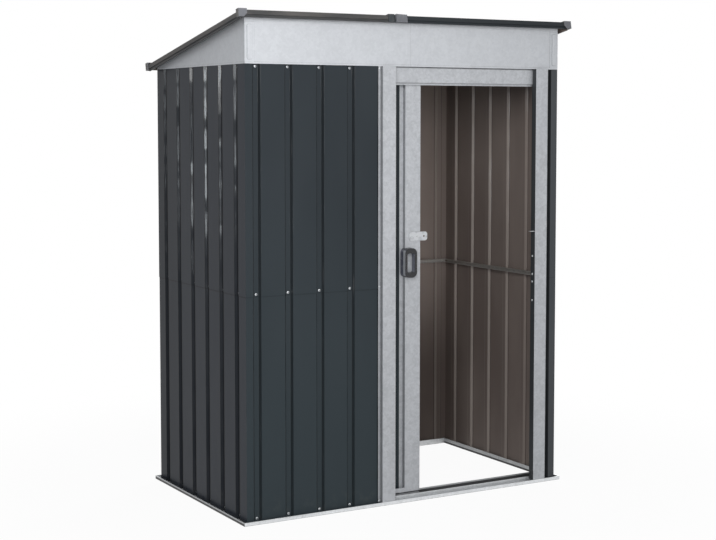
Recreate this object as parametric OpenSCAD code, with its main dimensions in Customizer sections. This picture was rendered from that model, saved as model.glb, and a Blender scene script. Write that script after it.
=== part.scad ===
// Pent-roof storage shed of ribbed sheet metal with one sliding door.
// +X runs to the right along the front, +Y to the back and +Z up.
// The origin is on the ground, at the middle of the whole outline.

/* [Walls] */
// Width over the wall sheets
wall_w = 1392; // [1200:1:1700]
// Depth over the wall sheets
wall_d = 806; // [700:1:1100]
// Height of the wall sheets' top edge above the ground
wall_h = 1669; // [1500:1:1900]
// Height of the seam where the upper sheets lap over the lower ones
seam_h = 832; // [700:1:950]
// Height of the lap at the seam
lap_h = 20; // [12:1:40]

/* [Sheet profile] */
// Thickness of the ribbed sheet
sheet_t = 0.8; // [0.5:0.1:1.5]
// Distance between grooves
rib_pitch = 130; // [100:1:160]
// Width of a groove at its mouth
rib_w = 32; // [24:1:40]
// Width of a groove's flat floor
rib_floor = 20; // [10:1:22]
// Depth of a groove
rib_depth = 10; // [5:0.5:14]
// Least distance from a sheet's edge to a groove's middle
rib_margin = 40; // [32:1:60]
// Width of the return that a side sheet turns behind its neighbour
corner_return = 22; // [12:1:24]

/* [Rails] */
// Thickness of the folded rails, posts and tracks
rail_t = 1.2; // [0.8:0.1:2]
// How far the base rail's flange stands out from the wall
flange_out = 17; // [10:1:24]
// Height of the hem along the flange's edge
hem_h = 13; // [3:0.5:16]
// Width of the hem along the flange's edge
hem_w = 3; // [2:0.5:6]
// Height of the base rail's web behind the wall sheets
base_web_h = 22.5; // [19:0.5:40]
// Height of the mid rail
mid_rail_h = 14; // [12:1:40]
// How far the mid rail reaches below the seam
mid_rail_drop = 4; // [0:0.5:12]
// How far the mid rail stands into the room
mid_rail_d = 14; // [12:1:30]
// Height of the top rail's leg behind the wall sheets
top_rail_leg = 28; // [15:1:40]
// Height of the top rail's leg behind the gable
top_rail_rise = 14; // [8:1:16]

/* [Doorway] */
// Distance from the left wall to the doorway
door_left_x = 622; // [520:1:700]
// Clear width of the doorway between the posts
doorway_w = 654; // [560:1:700]
// Width of a door post's front face
post_face_w = 57; // [40:1:70]
// Width of the flange that a post lays on the sheet beside it
post_flange_w = 11; // [8:1:20]
// How far a post's face stands out from the wall
post_proud = 16; // [10:1:20]
// Depth of the lip that a post turns into the doorway
post_lip = 12; // [6:1:16]
// Height of the header's face over the doorway
header_h = 60; // [40:1:90]
// Height of the lip below the header's face
header_lip_h = 9; // [5:1:14]
// Depth of the shelf from the header's face back to its lip
header_shelf = 6; // [4:0.5:7]
// How far the header's face lies behind the wall's face
header_inset = 5; // [2:0.5:6]
// Gap between the header and the fascia above it
header_gap = 4.5; // [1:0.5:8]
// How far the anthracite jamb turns behind the right post
jamb_turn = 16; // [8:1:20]

/* [Tracks] */
// Height of the top track
track_h = 42; // [30:1:50]
// Width of the slot under the top track
track_slot = 10; // [8:1:16]
// Height of the bottom track's inner rib
sill_rib_h = 27; // [20:1:40]
// Running clearance between a slider and its track
run_gap = 0.3; // [0.2:0.1:1]

/* [Door leaf] */
// How far the closed leaf reaches behind each post
leaf_lap = 18; // [10:1:30]
// Width of the open leaf that still shows beside the left post
leaf_show = 132; // [110:1:180]
// Depth of the leaf's front face behind the wall's face
leaf_face_d = 20; // [19:0.5:30]
// Thickness of the leaf's folded stiles and rails
leaf_t = 1; // [0.8:0.1:1.5]
// Width of a stile's front face
stile_face_w = 68; // [50:1:90]
// Width of the flange that a stile lays on the panel
stile_flange_w = 17; // [8:1:20]
// How far a stile's face stands out from its flange
stile_step = 15; // [8:1:20]
// Height of the leaf's lower edge above the ground
leaf_bottom = 31; // [29:1:60]
// Gap between the leaf's upper edge and the top track
leaf_top_gap = 6; // [5:0.5:12]
// Height of the legs of the leaf's top rail
leaf_rail_leg = 6; // [4:1:20]
// Height of the legs of the leaf's bottom rail
leaf_foot_leg = 17; // [10:1:30]
// Gap between the leaf's lower edge and the runner below it
runner_gap = 6; // [4:0.5:8]
// Height of the runner's front wall
runner_h = 13; // [8:1:14]
// How far the runner lies behind the leaf's face
runner_inset = 1.5; // [1:0.5:5]

/* [Handle and lock] */
// Width of the pull handle
handle_w = 53; // [44:1:58]
// Height of the pull handle
handle_h = 113; // [96:1:140]
// How far the handle stands out from the stile
handle_proud = 21; // [14:1:24]
// Corner radius of the handle
handle_r = 20; // [8:1:20]
// Width of the handle's window
handle_window_w = 33; // [24:1:34]
// Height of the handle's window
handle_window_h = 75; // [60:1:84]
// Corner radius of the handle's window
handle_window_r = 9; // [4:1:11]
// Height of the handle's middle above the ground
handle_z = 922; // [800:1:940]
// Distance from the leaf's leading edge to the handle
handle_inset = 27; // [20:1:34]
// Height of the hasp's middle above the ground
hasp_z = 1022; // [1010:1:1200]
// Height of the hasp plate
hasp_h = 34; // [24:1:40]
// How far the hasp's tab reaches past the leading edge
hasp_reach = 31; // [26:1:34]
// Corner radius of the hasp
hasp_r = 11; // [4:1:11]
// Distance from the hasp's end to its padlock hole
hasp_hole_inset = 15; // [10:1:18]
// Radius of the padlock hole in the hasp
hasp_hole_r = 4; // [3:0.5:6]
// Thickness of the hasp and of the post's lock tab
hasp_t = 2; // [1.5:0.5:3]
// How far the post's lock tab reaches into the doorway
lock_tab = 22; // [15:1:28]

/* [Roof] */
// Height of the roof sheet above the top of the back wall
back_rise = 19.3; // [17:0.1:60]
// Slope of the roof down to the back, in degrees
roof_pitch = 11; // [7:0.5:14]
// Overhang in front of the wall
over_front = 31; // [20:1:60]
// Overhang behind the wall
over_back = 22; // [15:1:60]
// Overhang at each side
over_side = 36; // [25:1:60]
// Height of the roof sheet's ribs
roof_rib_h = 5; // [4:0.5:10]
// Height of the roof trim's face
trim_h = 25; // [20:1:40]
// Thickness of the roof trim
trim_t = 1; // [0.8:0.1:2]
// Width of the trim on top of the roof sheet
trim_top_w = 30; // [20:1:34]
// Width of the trim's return under the roof
trim_return = 10; // [8:1:15]
// Height of the trim's lower lip
trim_lip_h = 9; // [5:1:14]
// How far the trim's lower lip is set back from its face
trim_step = 5; // [2:0.5:6]
// Wall thickness of the moulded roof caps
cap_t = 4; // [3:0.5:6]
// Width of a corner cap along the front
cap_w = 34; // [28:1:60]
// Depth of a corner cap along the side
cap_d = 20; // [18:1:40]
// How far the caps hang below the roof sheet
cap_skirt = 19.5; // [19:0.5:44]
// Cut across a corner cap's lower inner corner
cap_cut = 13; // [4:1:20]
// Distance from the left wall to the joint in the front and back trims
joint_x = 606; // [500:1:800]
// Gap between the two clips at a trim joint
joint_gap = 6; // [4:1:12]
// Width of the plain clip at a trim joint
joint_clip_w = 26; // [15:1:50]
// Width of the tapered clip at a trim joint
joint_wedge_w = 52; // [30:1:80]
// How far the tapered clip stands out at its thick end
joint_proud = 9; // [7:0.5:14]
// Height of the roof beam
beam_h = 35; // [25:1:50]
// Width of the roof beam
beam_w = 30; // [20:1:40]

/* [Gables and fascia] */
// Thickness of the gables and the fascia
fascia_t = 1; // [0.8:0.1:1.5]
// Width of the fascia's top flange
fascia_flange = 8; // [5:1:12]
// Height of the hem that the fascia and the gables turn outwards along their lower edge
edge_hem_h = 6; // [4:0.5:12]
// Width of the plates at the fascia's ends
end_plate_w = 38; // [25:1:50]
// Height of the pressed panel on an end plate
emboss = 2.5; // [0.5:0.5:4]

/* [Hidden] */
$fn = 48;
// Gap between fixed pieces that lie against each other
fit_gap = 0.2;
// Gap between the two sheets at a lap
lap_inset = sheet_t + fit_gap;
// Depth from the wall's face to the back of a groove, in the upper and the lower sheets
upper_back = rib_depth + sheet_t;
lower_back = upper_back + lap_inset;
// Depth of the webs that stand behind the sheets
base_web_d = lower_back + fit_gap;
top_leg_d = upper_back + fit_gap;
// Clear height between a rail's foot and what stands on it
foot_h = rail_t + fit_gap;
// Doorway's right edge and the outer edges of the two post flanges, from the left wall
door_right_x = door_left_x + doorway_w;
left_flange_x = door_left_x - post_face_w - post_flange_w;
right_flange_x = door_right_x + post_face_w + post_flange_w;
// Sheet hidden inside a hollow post
tuck = post_face_w / 3;
// Leaf's size and place, from the left wall
leaf_w = doorway_w + 2 * leaf_lap;
leaf_edge = door_left_x + leaf_show;
leaf_tail = leaf_edge - leaf_w;
leaf_mid = leaf_edge - leaf_w / 2;
stile_w = stile_face_w + stile_flange_w;
// Leaf's ribbed panel lies just behind the stile flanges
leaf_flange_d = leaf_face_d + stile_step;
panel_d = leaf_flange_d + leaf_t + fit_gap;
leaf_back_d = panel_d + lower_back + fit_gap + leaf_t;
leaf_mid_d = (leaf_face_d + leaf_back_d) / 2;
// Top track hangs inside the top rail's leg, centred over the leaf
track_front_d = top_leg_d + rail_t + fit_gap;
track_back_d = 2 * leaf_mid_d - track_front_d;
track_top = wall_h - rail_t - fit_gap - (header_h - track_h) + header_lip_h;
track_bottom = track_top - track_h;
leaf_top = track_bottom - leaf_top_gap;
// Jamb stands just inside the doorway's right edge, and the header stops at it
jamb_x = door_right_x - fit_gap;
header_top = wall_h - header_gap;
header_bottom = wall_h - header_h;
header_lip_z = header_bottom - header_lip_h;
header_lip_d = header_inset + header_shelf;
// Bottom track lies behind the base rail's web
sill_front_d = base_web_d + rail_t + fit_gap;
sill_back_d = 2 * leaf_mid_d - sill_front_d;
side_clear = base_web_d + rail_t + fit_gap;
// Roof in its own sloping frame: x across, y down the slope, z off the sheet
front_roof_h = wall_h + back_rise + (wall_d + over_front) * tan(roof_pitch);
roof_len = (wall_d + over_front + over_back) / cos(roof_pitch);
roof_half = wall_w / 2 + over_side;
front_trim_top = roof_rib_h + fit_gap + trim_t;
side_trim_top = fit_gap + trim_t;
cap_top = front_trim_top + fit_gap + cap_t;
trim_gap = trim_t + 0.3;
// Whole outline from front to back, which the origin halves
y_front = -wall_d / 2 - over_front - joint_proud * cos(roof_pitch) - cap_skirt * sin(roof_pitch);
y_back = -wall_d / 2 - over_front + (roof_len + joint_proud) * cos(roof_pitch) + cap_top * sin(roof_pitch);
y_shift = -(y_front + y_back) / 2;
// How far a cutting shape runs past what it cuts
reach = 100;

galvanised = [0.72, 0.74, 0.76];
anthracite = [0.24, 0.25, 0.27];
dark_plastic = [0.16, 0.17, 0.18];
grey_plastic = [0.42, 0.43, 0.45];

// Folded sheet metal: a path of bends, thickened to its left by t, or to its right where t is negative
function unit(v) = v / norm(v);
function left_of(a, b) = let (u = unit(b - a)) [-u.y, u.x];
function bend(path, i, t) =
    let (last = len(path) - 1)
    i == 0 ? t * left_of(path[0], path[1]) :
    i == last ? t * left_of(path[last - 1], path[last]) :
    let (n = left_of(path[i - 1], path[i]), m = left_of(path[i], path[i + 1]))
    t * (n + m) / (1 + n * m);
function offset_path(path, t) = [for (i = [0 : len(path) - 1]) path[i] + bend(path, i, t)];
function reversed(path) = [for (i = [len(path) - 1 : -1 : 0]) path[i]];
function folded(path, t) = concat(path, reversed(offset_path(path, t)));

// Grooves spread evenly over a length, and those that lie between two places on it
function rib_centres(length) =
    let (n = floor((length - 2 * rib_margin) / rib_pitch))
    [for (i = [0 : n]) (i - n / 2) * rib_pitch];
function ribs_between(length, x0, x1) =
    [for (c = rib_centres(length)) if (c - rib_w / 2 > x0 && c + rib_w / 2 < x1) c];
function ribbed_path(x0, x1, centres, depth) = concat(
    [[x0, 0]],
    [for (c = centres) each [
        [c - rib_w / 2, 0], [c - rib_floor / 2, depth], [c + rib_floor / 2, depth], [c + rib_w / 2, 0]
    ]],
    [[x1, 0]]
);

// Height of the roof sheet's underside over a depth behind the front wall's face
function roof_under(depth) =
    front_roof_h - (depth + over_front) * tan(roof_pitch) - sheet_t / cos(roof_pitch) - fit_gap;

// Side of the building: 0 front, 1 right, 2 back, 3 left, with y as the depth behind the wall's face
function side_length(side) = side % 2 == 0 ? wall_w : wall_d;
module on_side(side)
    translate([0, y_shift, 0])
    rotate([0, 0, 90 * side])
    translate([0, -side_length(side + 1) / 2, 0])
    children();

// Place on the front, with x from the left wall
module on_front() on_side(0) translate([-wall_w / 2, 0, 0]) children();

// Strip with a folded section of depth and height, along the front or any side
module strip(x0, x1, path, t)
    translate([x0, 0, 0])
    rotate([90, 0, 90])
    linear_extrude(x1 - x0)
    polygon(folded(path, t));

// What lies between the mitres at a side's two corners
module mitred(half, height)
    intersection() {
        children();
        linear_extrude(height)
        polygon([
            [-half - reach, -reach], [half + reach, -reach], [half - reach, reach], [reach - half, reach]
        ]);
    }

// Rail with a folded section around one side, mitred at both corners
module mitred_rail(side, path, t) {
    half = side_length(side) / 2 - fit_gap / 2;
    on_side(side) mitred(half, 2 * wall_h) strip(-half - reach, half + reach, path, t);
}

// Upright piece with a folded section in plan, on the front
module upright(z0, z1, path, t)
    on_front()
    translate([0, 0, z0])
    linear_extrude(z1 - z0)
    polygon(folded(path, t));

module in_roof()
    translate([0, y_shift - wall_d / 2 - over_front, front_roof_h])
    rotate([-roof_pitch, 0, 0])
    children();

// Box between two opposite corners
module block(low, high) translate(low) cube(high - low);

// Plate with round corners, centred
module round_plate(w, h, r) {
    square([w - 2 * r, h], center = true);
    square([w, h - 2 * r], center = true);
    for (x = [-1, 1], y = [-1, 1]) translate([x * (w / 2 - r), y * (h / 2 - r)]) circle(r);
}

base_path = [
    [-flange_out + hem_w, rail_t], [-flange_out + hem_w, hem_h], [-flange_out, hem_h], [-flange_out, 0],
    [base_web_d + rail_t, 0], [base_web_d + rail_t, base_web_h], [base_web_d, base_web_h],
    [base_web_d, rail_t]
];
module base_rail(side) {
    half = side_length(side) / 2 - fit_gap / 2;
    color(galvanised)
    on_side(side)
    mitred(half, base_web_h)
    translate([-half - reach, 0, 0])
    rotate([90, 0, 90])
    linear_extrude(2 * (half + reach))
    polygon(base_path);
}
module base_rail_front() base_rail(0);
module base_rail_right() base_rail(1);
module base_rail_back() base_rail(2);
module base_rail_left() base_rail(3);

module door_bottom_track()
    color(galvanised)
    on_front()
    strip(side_clear, wall_w - side_clear, [
        [sill_front_d, base_web_h - fit_gap], [sill_front_d, 0], [sill_back_d, 0], [sill_back_d, sill_rib_h]
    ], rail_t);

module door_top_track()
    color(galvanised)
    on_front()
    strip(side_clear, wall_w - side_clear, [
        [leaf_mid_d - track_slot / 2, track_bottom], [track_front_d, track_bottom],
        [track_front_d, track_top], [track_back_d, track_top],
        [track_back_d, track_bottom], [leaf_mid_d + track_slot / 2, track_bottom]
    ], -rail_t);

// Header, from inside the left post to the jamb
module door_header()
    color(galvanised)
    on_front()
    strip(door_left_x - tuck, jamb_x - sheet_t - fit_gap, [
        [top_leg_d - fit_gap, header_top], [header_inset, header_top], [header_inset, header_bottom],
        [header_lip_d, header_bottom], [header_lip_d, header_lip_z]
    ], rail_t);

post_path = [
    [left_flange_x, -rail_t - fit_gap], [door_left_x - post_face_w, -rail_t - fit_gap],
    [door_left_x - post_face_w, -post_proud], [door_left_x, -post_proud], [door_left_x, post_lip - post_proud]
];
module door_post_left() color(galvanised) upright(hem_h + fit_gap, wall_h, post_path, rail_t);
module door_post_right()
    color(galvanised)
    on_front()
    translate([door_left_x + door_right_x, 0, hem_h + fit_gap])
    mirror([1, 0, 0])
    linear_extrude(wall_h - hem_h - fit_gap)
    polygon(folded(post_path, rail_t));

// Channel open to the room, behind the seam of the sheets
mid_rail_z = seam_h - mid_rail_drop;
mid_web_d = lower_back + fit_gap;
mid_path = [
    [mid_web_d + mid_rail_d, mid_rail_z + mid_rail_h], [mid_web_d, mid_rail_z + mid_rail_h],
    [mid_web_d, mid_rail_z], [mid_web_d + mid_rail_d, mid_rail_z]
];
module mid_rail_right()
    on_side(1)
    strip(mid_web_d - wall_d / 2, wall_d / 2 - mid_web_d - mid_rail_d - fit_gap, mid_path, rail_t);
module mid_rails()
    color(galvanised) {
        on_side(2) strip(mid_web_d - wall_w / 2, wall_w / 2 - mid_web_d, mid_path, rail_t);
        mid_rail_right();
        mirror([1, 0, 0]) mid_rail_right();
    }

top_path = [
    [fascia_t + fit_gap, wall_h + top_rail_rise], [fascia_t + fit_gap, wall_h + fit_gap],
    [top_leg_d, wall_h + fit_gap], [top_leg_d, wall_h - top_rail_leg]
];
module top_rails() color(galvanised) for (side = [0 : 3]) mitred_rail(side, top_path, rail_t);

// Wall sheets: the upper ones lie outside and lap over the lower ones, which follow the same path inside it
module upper_sheet(path)
    translate([0, 0, seam_h])
    linear_extrude(wall_h - seam_h)
    polygon(folded(path, sheet_t));
module lower_sheet(path)
    translate([0, 0, foot_h])
    linear_extrude(seam_h + lap_h - foot_h)
    polygon(folded(offset_path(path, lap_inset), sheet_t));

side_end = wall_d / 2 - sheet_t - fit_gap;
side_path = concat(
    [[-side_end, corner_return]],
    ribbed_path(-side_end, side_end, rib_centres(wall_d), rib_depth),
    [[side_end, corner_return]]
);
notch_w = sheet_t + fit_gap;
module right_wall_upper()
    color(anthracite)
    on_side(1)
    difference() {
        upper_sheet(side_path);
        for (end = [0, 1])
        mirror([end, 0, 0])
        block([side_end - notch_w, sheet_t, seam_h - 1], [side_end + 1, reach, seam_h + lap_h + fit_gap]);
    }
module right_wall_lower() color(anthracite) on_side(1) lower_sheet(side_path);
module left_wall_upper() color(anthracite) mirror([1, 0, 0]) right_wall_upper();
module left_wall_lower() color(anthracite) mirror([1, 0, 0]) right_wall_lower();

function back_path(inset) =
    ribbed_path(inset - wall_w / 2, wall_w / 2 - inset, rib_centres(wall_w), rib_depth);
module back_wall_upper() color(anthracite) on_side(2) upper_sheet(back_path(0));
module back_wall_lower() color(anthracite) on_side(2) lower_sheet(back_path(lap_inset));

function front_path(inset) =
    ribbed_path(
        inset - wall_w / 2, door_left_x - post_face_w + tuck - wall_w / 2,
        ribs_between(wall_w, -wall_w / 2, left_flange_x - wall_w / 2), rib_depth
    );
module front_wall_upper() color(anthracite) on_side(0) upper_sheet(front_path(0));
module front_wall_lower() color(anthracite) on_side(0) lower_sheet(front_path(lap_inset));

// Strip at the right front corner, and a jamb of the same sheet that turns behind the right post
strip_x = door_right_x + post_face_w - tuck - wall_w / 2;
strip_path = ribbed_path(strip_x, wall_w / 2, ribs_between(wall_w, strip_x, wall_w / 2), rib_depth);
jamb_back = top_leg_d - fit_gap - sheet_t;
jamb_path = [[jamb_x, rail_t - post_proud], [jamb_x, jamb_back], [jamb_x + jamb_turn, jamb_back]];
module front_corner_strip()
    color(anthracite) {
        on_side(0)
        translate([0, 0, foot_h])
        linear_extrude(wall_h - foot_h)
        polygon(folded(strip_path, sheet_t));
        upright(hem_h + fit_gap, wall_h, jamb_path, sheet_t);
    }

// Gables between the front and back fascia, up to the roof sheet, with a hem along the lower edge
edge_z = wall_h + fit_gap;
gable_front = fascia_t + fit_gap;
gable_back = wall_d - fascia_t - fit_gap;
module gable_right()
    color(galvanised)
    on_side(1)
    translate([-wall_d / 2, 0, 0]) {
        translate([0, fascia_t, 0])
        rotate([90, 0, 0])
        linear_extrude(fascia_t)
        polygon([
            [gable_front, edge_z], [gable_back, edge_z],
            [gable_back, roof_under(gable_back)], [gable_front, roof_under(gable_front)]
        ]);
        edge_hem(gable_front, gable_back);
    }
module edge_hem(x0, x1) block([x0, -fascia_t, edge_z], [x1, fascia_t, edge_z + edge_hem_h]);
module gable_left() color(galvanised) mirror([1, 0, 0]) gable_right();

// Fascia, whose top flange stops inside the gables
fascia_top = roof_under(fascia_flange);
back_fascia_top = roof_under(wall_d);
flange_half = wall_w / 2 - fascia_t - fit_gap;
module fascia(x0, x1, top) {
    strip(x0, x1, [[0, top], [0, edge_z]], fascia_t);
    edge_hem(x0, x1);
    strip(max(x0, -flange_half), min(x1, flange_half), [[fascia_flange, top], [0, top]], fascia_t);
}
module fascia_left() color(galvanised) on_side(0) fascia(-wall_w / 2, -fit_gap, fascia_top);
module fascia_right() color(galvanised) on_side(0) fascia(fit_gap, wall_w / 2, fascia_top);
module fascia_back() color(galvanised) on_side(2) fascia(-wall_w / 2, wall_w / 2, back_fascia_top);

// Plates on the fascia's two ends, above its hem, each with a pressed panel
end_plate_z = edge_z + edge_hem_h + fit_gap;
end_plate_h = fascia_top - end_plate_z - trim_h;
module end_plate() {
    translate([0, 0, end_plate_z + end_plate_h / 2])
    rotate([90, 0, 0]) {
        translate([0, 0, fit_gap]) linear_extrude(fascia_t) square([end_plate_w, end_plate_h], center = true);
        translate([0, 0, fit_gap])
        linear_extrude(fascia_t + emboss)
        round_plate(end_plate_w / 2, end_plate_h - end_plate_w / 2, end_plate_w / 8);
    }
}
module fascia_end_plates()
    color(galvanised)
    on_side(0)
    for (side = [-1, 1]) translate([side * (wall_w - end_plate_w) / 2, 0, 0]) end_plate();

// Roof sheets meet at the foot of the middle rib
roof_sheet_half = roof_half - trim_gap;
roof_seam_x = rib_w / 2 + 2;
module roof_panel(x0, x1)
    color(anthracite)
    in_roof()
    translate([0, roof_len - trim_gap, 0])
    rotate([90, 0, 0])
    linear_extrude(roof_len - 2 * trim_gap)
    polygon(folded(ribbed_path(x0, x1, ribs_between(wall_w, x0, x1), roof_rib_h), -sheet_t));
module roof_panel_left() roof_panel(-roof_sheet_half, roof_seam_x - fit_gap);
module roof_panel_right() roof_panel(roof_seam_x, roof_sheet_half);

beam_half = wall_w / 2 - fascia_t - fit_gap;
beam_top = -sheet_t - fit_gap;
module roof_beam()
    color(galvanised)
    in_roof()
    translate([0, (roof_len - beam_w) / 2, 0])
    strip(-beam_half, beam_half, [
        [0, beam_top - beam_h], [0, beam_top], [beam_w, beam_top], [beam_w, beam_top - beam_h]
    ], -rail_t);

// Trims cap the roof's edges with a face over a set-back lip, in two lengths at the front and the back
function trim_path(top) = [
    [trim_top_w, top], [0, top], [0, top - trim_h + trim_lip_h], [trim_step, top - trim_h + trim_lip_h],
    [trim_step, top - trim_h], [trim_return, top - trim_h]
];
front_trim_path = trim_path(front_trim_top);
trim_half = roof_half - trim_gap;
joint_pos = joint_x - wall_w / 2;
module front_trim() {
    strip(-trim_half, joint_pos - 1, front_trim_path, trim_t);
    strip(joint_pos + 1, trim_half, front_trim_path, trim_t);
}
module roof_trim_front() color(anthracite) in_roof() front_trim();
module roof_trim_back()
    color(anthracite)
    in_roof()
    translate([0, roof_len, 0])
    mirror([0, 1, 0])
    front_trim();
// Side trims end behind the returns of the front and back ones, under the corner caps
side_trim_end = trim_return + fit_gap;
module roof_trim_right()
    color(anthracite)
    in_roof()
    translate([0, roof_len - side_trim_end, 0])
    rotate([90, 0, 0])
    linear_extrude(roof_len - 2 * side_trim_end)
    polygon(folded([for (p = trim_path(side_trim_top)) [roof_half - p.x, p.y]], -trim_t));
module roof_trim_left() color(anthracite) mirror([1, 0, 0]) roof_trim_right();

// Moulded caps: a hollow corner with a top and two skirts, and a pair of clips over each trim joint
cap_inner_top = front_trim_top + fit_gap;
cap_x0 = roof_half + cap_t - cap_w;
cap_x1 = roof_half + cap_t;
module corner_cap()
    difference() {
        translate([0, cap_d - cap_t, 0])
        rotate([90, 0, 0])
        linear_extrude(cap_d)
        polygon([
            [cap_x0, cap_top], [cap_x1, cap_top], [cap_x1, -cap_skirt],
            [cap_x0 + cap_cut, -cap_skirt], [cap_x0, cap_cut - cap_skirt]
        ]);
        block([0, -fit_gap, -reach], [roof_half + fit_gap, reach, cap_inner_top]);
    }
module at_roof_ends()
    in_roof()
    for (end = [0, 1]) translate([0, end * roof_len, 0]) mirror([0, end, 0]) children();
module roof_corner_caps()
    color(grey_plastic)
    for (hand = [0, 1]) at_roof_ends() mirror([hand, 0, 0]) corner_cap();
module joint_clips()
    translate([joint_pos, 0, -cap_skirt])
    difference() {
        linear_extrude(cap_skirt + cap_top) {
            translate([-joint_gap / 2 - joint_clip_w, -cap_t]) square([joint_clip_w, cap_d]);
            polygon([
                [joint_gap / 2, -joint_proud], [joint_gap / 2 + joint_wedge_w, -cap_t / 2],
                [joint_gap / 2 + joint_wedge_w, cap_d - cap_t], [joint_gap / 2, cap_d - cap_t]
            ]);
        }
        block([-reach, -fit_gap, -reach], [reach, reach, cap_skirt + cap_inner_top]);
    }
module roof_joint_caps() color(grey_plastic) at_roof_ends() joint_clips();

// Level tab on the right post, for a padlock through the hasp
module lock_tab_plate()
    color(galvanised)
    on_front()
    translate([jamb_x - sheet_t - fit_gap, 0, hasp_z])
    block([-lock_tab, 1 - post_proud, 0], [0, post_lip - post_proud, hasp_t]);

// Door leaf: a ribbed panel in two sheets between folded stiles and rails
stile_path = [
    [leaf_edge - stile_w, leaf_flange_d], [leaf_edge - stile_face_w, leaf_flange_d],
    [leaf_edge - stile_face_w, leaf_face_d], [leaf_edge, leaf_face_d], [leaf_edge, leaf_back_d]
];
module door_stile_leading() color(galvanised) upright(leaf_bottom, leaf_top, stile_path, leaf_t);
module door_stile_trailing()
    color(galvanised)
    on_front()
    translate([leaf_edge + leaf_tail, 0, leaf_bottom])
    mirror([1, 0, 0])
    linear_extrude(leaf_top - leaf_bottom)
    polygon(folded(stile_path, leaf_t));

panel_end = leaf_w / 2 - leaf_t - fit_gap;
panel_path = ribbed_path(
    -panel_end, panel_end, ribs_between(leaf_w, stile_w - leaf_w / 2, leaf_w / 2 - stile_w), rib_depth
);
panel_z0 = leaf_bottom + leaf_t + fit_gap;
panel_z1 = leaf_top - leaf_t - fit_gap;
module on_panel() on_front() translate([leaf_mid, panel_d, 0]) children();
module door_panel_upper()
    color(anthracite)
    on_panel()
    translate([0, 0, seam_h])
    linear_extrude(panel_z1 - seam_h)
    polygon(folded(panel_path, sheet_t));
module door_panel_lower()
    color(anthracite)
    on_panel()
    translate([0, 0, panel_z0])
    linear_extrude(seam_h + lap_h - panel_z0)
    polygon(folded(offset_path(panel_path, lap_inset), sheet_t));

cross_x0 = leaf_tail + stile_w + fit_gap;
cross_x1 = leaf_edge - stile_w - fit_gap;
// Front leg of a rail, which reaches over the stile flanges to the stile faces
module rail_front(z0, z1)
    block(
        [leaf_tail + stile_face_w + fit_gap, leaf_face_d, z0],
        [leaf_edge - stile_face_w - fit_gap, leaf_face_d + leaf_t, z1]
    );
// Runner along the leaf's foot, in the bottom track
runner_d = leaf_face_d + runner_inset;
runner_z = leaf_bottom - runner_gap;
module door_cross_rails()
    color(galvanised)
    on_front() {
        rail_front(leaf_top - leaf_rail_leg, leaf_top);
        strip(cross_x0, cross_x1, [
            [leaf_face_d, leaf_top - leaf_rail_leg], [leaf_face_d, leaf_top],
            [leaf_back_d, leaf_top], [leaf_back_d, leaf_top - leaf_rail_leg]
        ], -leaf_t);
        rail_front(leaf_bottom, leaf_bottom + leaf_foot_leg);
        strip(cross_x0, cross_x1, [
            [leaf_face_d, leaf_bottom + leaf_foot_leg], [leaf_face_d, leaf_bottom],
            [leaf_back_d, leaf_bottom], [leaf_back_d, leaf_bottom + leaf_foot_leg]
        ], leaf_t);
        strip(leaf_tail, leaf_edge, [
            [runner_d, runner_z - runner_h], [runner_d, runner_z],
            [leaf_mid_d, runner_z], [leaf_mid_d, leaf_bottom - fit_gap]
        ], -leaf_t);
    }

// Sliders: hangers that ride on the lips of the top track, and guides that run in the bottom one
slider_l = 40;
slider_x = leaf_w / 4;
head_z = track_bottom + rail_t + run_gap;
head_h = 12;
head_half = leaf_mid_d - track_front_d - rail_t - 3;
neck_half = track_slot / 2 - 2;
module door_hangers()
    color(dark_plastic)
    on_front()
    for (side = [-1, 1]) translate([leaf_mid + side * slider_x, leaf_mid_d, 0]) {
        block([-slider_l / 2, -neck_half, leaf_top], [slider_l / 2, neck_half, head_z + head_h / 2]);
        block([-slider_l / 2, -head_half, head_z], [slider_l / 2, head_half, head_z + head_h]);
    }
guide_z = rail_t + leaf_top_gap;
guide_half = leaf_mid_d - runner_d - leaf_t - fit_gap;
module door_guides()
    color(dark_plastic)
    on_front()
    for (side = [-1, 1])
    translate([leaf_mid + side * slider_x, leaf_mid_d, 0])
    block([-slider_l / 2, -guide_half, guide_z], [slider_l / 2, guide_half, runner_z - leaf_t - fit_gap]);

// Pull handle: a ring that stands on the stile and laps over its step
handle_x = leaf_edge - handle_inset - handle_w / 2;
handle_tail = leaf_edge - stile_face_w - fit_gap - handle_x;
module handle_ring()
    difference() {
        round_plate(handle_w, handle_h, handle_r);
        round_plate(handle_window_w, handle_window_h, handle_window_r);
    }
module door_handle()
    color(dark_plastic)
    on_front()
    translate([handle_x, leaf_face_d - fit_gap, handle_z])
    rotate([90, 0, 0]) {
        linear_extrude(handle_proud) handle_ring();
        translate([0, 0, -stile_step])
        linear_extrude(stile_step + handle_proud / 2)
        intersection() {
            handle_ring();
            translate([-handle_w, -handle_h]) square([handle_w + handle_tail, 2 * handle_h]);
        }
    }

// Hasp: a plate on the stile whose tab reaches past the leading edge
hasp_plate_w = stile_face_w * 0.75;
module door_hasp()
    color(galvanised)
    on_front()
    translate([leaf_edge, leaf_face_d - fit_gap, hasp_z])
    rotate([90, 0, 0])
    linear_extrude(hasp_t)
    difference() {
        translate([(hasp_reach - hasp_plate_w) / 2, 0])
        round_plate(hasp_plate_w + hasp_reach, hasp_h, hasp_r);
        translate([hasp_reach - hasp_hole_inset, 0]) circle(hasp_hole_r);
    }

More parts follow.
